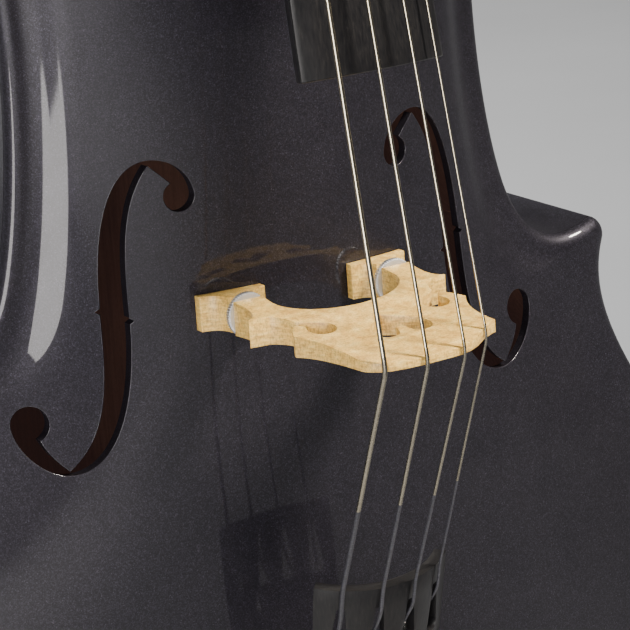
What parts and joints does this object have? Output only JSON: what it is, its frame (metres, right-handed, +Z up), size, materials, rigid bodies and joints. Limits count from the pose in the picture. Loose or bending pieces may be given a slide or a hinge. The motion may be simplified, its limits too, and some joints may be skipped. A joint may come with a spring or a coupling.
{
  "type": "cello",
  "caption": "Cello with f-holes, a bridge on height-adjusting thumbwheels, a tailpiece with built-in fine tuners, tuning pegs, a scroll head and a sliding endpin",
  "frame": {"origin": "the centre of the endpin tip's flat end, where the instrument stands on the floor", "axes": "+Z runs up the endpin and the body towards the head, the belly faces -Y and +X is the treble side"},
  "size_m": [0.438, 0.2643, 1.5145],
  "materials": {
    "metallic_black": "satin black lacquer with a fine metallic sparkle",
    "maple": "pale varnished maple",
    "spruce": "bare spruce and willow inside the body",
    "ebony": "satin black",
    "steel": "polished steel",
    "aluminium": "satin turned aluminium",
    "cord": "black synthetic cord",
    "rubber": "black rubber"
  },
  "bodies": {
    "cello": {"top_plate": "metallic_black", "back_plate": "metallic_black", "ribs": "metallic_black", "neck_block": "spruce", "end_block": "spruce", "bass_bar": "spruce", "sound_post": "spruce", "neck": "maple", "fingerboard": "ebony", "nut": "ebony", "saddle": "ebony", "tailpiece": "ebony", "tail_cord": "cord", "endpin_plug": "ebony", "bridge_foot_bass": "maple", "bridge_foot_treble": "maple", "corner_block_lower_bass": "spruce", "corner_block_lower_treble": "spruce", "corner_block_upper_bass": "spruce", "corner_block_upper_treble": "spruce", "lining_top_lower_bass": "spruce", "lining_top_lower_treble": "spruce", "lining_top_waist_bass": "spruce", "lining_top_waist_treble": "spruce", "lining_top_upper_bass": "spruce", "lining_top_upper_treble": "spruce", "lining_back_lower_bass": "spruce", "lining_back_lower_treble": "spruce", "lining_back_waist_bass": "spruce", "lining_back_waist_treble": "spruce", "lining_back_upper_bass": "spruce", "lining_back_upper_treble": "spruce", "string_c": "steel", "string_g": "steel", "string_d": "steel", "string_a": "steel", "tuner_pin_c": "steel", "tuner_pin_g": "steel", "tuner_pin_d": "steel", "tuner_pin_a": "steel"},
    "peg_c": {"peg_c": "ebony"},
    "peg_g": {"peg_g": "ebony"},
    "peg_d": {"peg_d": "ebony"},
    "peg_a": {"peg_a": "ebony"},
    "tuner_screw_c": {"tuner_screw_c": "steel"},
    "tuner_lever_c": {"tuner_lever_c": "steel"},
    "tuner_screw_g": {"tuner_screw_g": "steel"},
    "tuner_lever_g": {"tuner_lever_g": "steel"},
    "tuner_screw_d": {"tuner_screw_d": "steel"},
    "tuner_lever_d": {"tuner_lever_d": "steel"},
    "tuner_screw_a": {"tuner_screw_a": "steel"},
    "tuner_lever_a": {"tuner_lever_a": "steel"},
    "bridge": {"bridge": "maple"},
    "thumbwheel_bass": {"thumbwheel_bass": "aluminium"},
    "thumbwheel_treble": {"thumbwheel_treble": "aluminium"},
    "endpin": {"endpin_rod": "steel", "endpin_tip": "rubber"},
    "endpin_screw": {"endpin_screw": "steel"}
  },
  "joints": [
    {"name": "peg_c_turn", "type": "hinge", "parent": "cello", "child": "peg_c", "pos_m": [0, -0.01243, 1.36669], "axis": [-1, 0, 0], "continuous": true},
    {"name": "peg_g_turn", "type": "hinge", "parent": "cello", "child": "peg_g", "pos_m": [0, 0.00517, 1.41774], "axis": [-1, 0, 0], "continuous": true},
    {"name": "peg_d_turn", "type": "hinge", "parent": "cello", "child": "peg_d", "pos_m": [0, 0.01332, 1.44138], "axis": [1, 0, 0], "continuous": true},
    {"name": "peg_a_turn", "type": "hinge", "parent": "cello", "child": "peg_a", "pos_m": [0, -0.00428, 1.39032], "axis": [1, 0, 0], "continuous": true},
    {"name": "tuner_screw_c_turn", "type": "hinge", "parent": "cello", "child": "tuner_screw_c", "pos_m": [-0.0195, -0.11856, 0.4958], "axis": [0.4279, 0.8781, 0.2141], "range_deg": [0, 1440]},
    {"name": "tuner_lever_c_tilt", "type": "hinge", "parent": "cello", "child": "tuner_lever_c", "pos_m": [-0.01428, -0.11258, 0.51784], "axis": [0.9038, -0.4157, -0.1013], "range_deg": [0, 5.1]},
    {"name": "tuner_screw_g_turn", "type": "hinge", "parent": "cello", "child": "tuner_screw_g", "pos_m": [-0.0065, -0.12236, 0.49487], "axis": [0.1426, 0.9616, 0.2344], "range_deg": [0, 1440]},
    {"name": "tuner_lever_g_tilt", "type": "hinge", "parent": "cello", "child": "tuner_lever_g", "pos_m": [-0.00476, -0.11537, 0.51716], "axis": [0.9898, -0.1386, -0.0338], "range_deg": [0, 5.1]},
    {"name": "tuner_screw_d_turn", "type": "hinge", "parent": "cello", "child": "tuner_screw_d", "pos_m": [0.0065, -0.12236, 0.49487], "axis": [-0.1426, 0.9616, 0.2344], "range_deg": [0, 1440]},
    {"name": "tuner_lever_d_tilt", "type": "hinge", "parent": "cello", "child": "tuner_lever_d", "pos_m": [0.00476, -0.11537, 0.51716], "axis": [0.9898, 0.1386, 0.0338], "range_deg": [0, 5.1]},
    {"name": "tuner_screw_a_turn", "type": "hinge", "parent": "cello", "child": "tuner_screw_a", "pos_m": [0.0195, -0.11856, 0.4958], "axis": [-0.4279, 0.8781, 0.2141], "range_deg": [0, 1440]},
    {"name": "tuner_lever_a_tilt", "type": "hinge", "parent": "cello", "child": "tuner_lever_a", "pos_m": [0.01428, -0.11258, 0.51784], "axis": [0.9038, 0.4157, 0.1013], "range_deg": [0, 5.1]},
    {"name": "bridge_height", "type": "slide", "parent": "cello", "child": "bridge", "axis": [0, -1, 0], "range_m": [-0.001, 0]},
    {"name": "thumbwheel_bass_turn", "type": "hinge", "parent": "bridge", "child": "thumbwheel_bass", "pos_m": [-0.0316, -0.0865, 0.6559], "axis": [0, -1, 0], "range_deg": [-361, 0]},
    {"name": "thumbwheel_treble_turn", "type": "hinge", "parent": "bridge", "child": "thumbwheel_treble", "pos_m": [0.0316, -0.0865, 0.6559], "axis": [0, -1, 0], "range_deg": [-361, 0]},
    {"name": "endpin_slide", "type": "slide", "parent": "cello", "child": "endpin", "axis": [0, 0, 1], "range_m": [0, 0.255]},
    {"name": "endpin_screw_turn", "type": "hinge", "parent": "cello", "child": "endpin_screw", "pos_m": [0, 0, 0.2874], "axis": [1, 0, 0], "range_deg": [0, 720]}
  ],
  "couplings": [
    {"joint": "tuner_lever_c_tilt", "follows": "tuner_screw_c_turn", "ratio": 0.0035},
    {"joint": "tuner_lever_g_tilt", "follows": "tuner_screw_g_turn", "ratio": 0.0035},
    {"joint": "tuner_lever_d_tilt", "follows": "tuner_screw_d_turn", "ratio": 0.0035},
    {"joint": "tuner_lever_a_tilt", "follows": "tuner_screw_a_turn", "ratio": 0.0035},
    {"joint": "thumbwheel_bass_turn", "follows": "bridge_height", "rad_per_m": 6283.2},
    {"joint": "thumbwheel_treble_turn", "follows": "bridge_height", "rad_per_m": 6283.2}
  ]
}
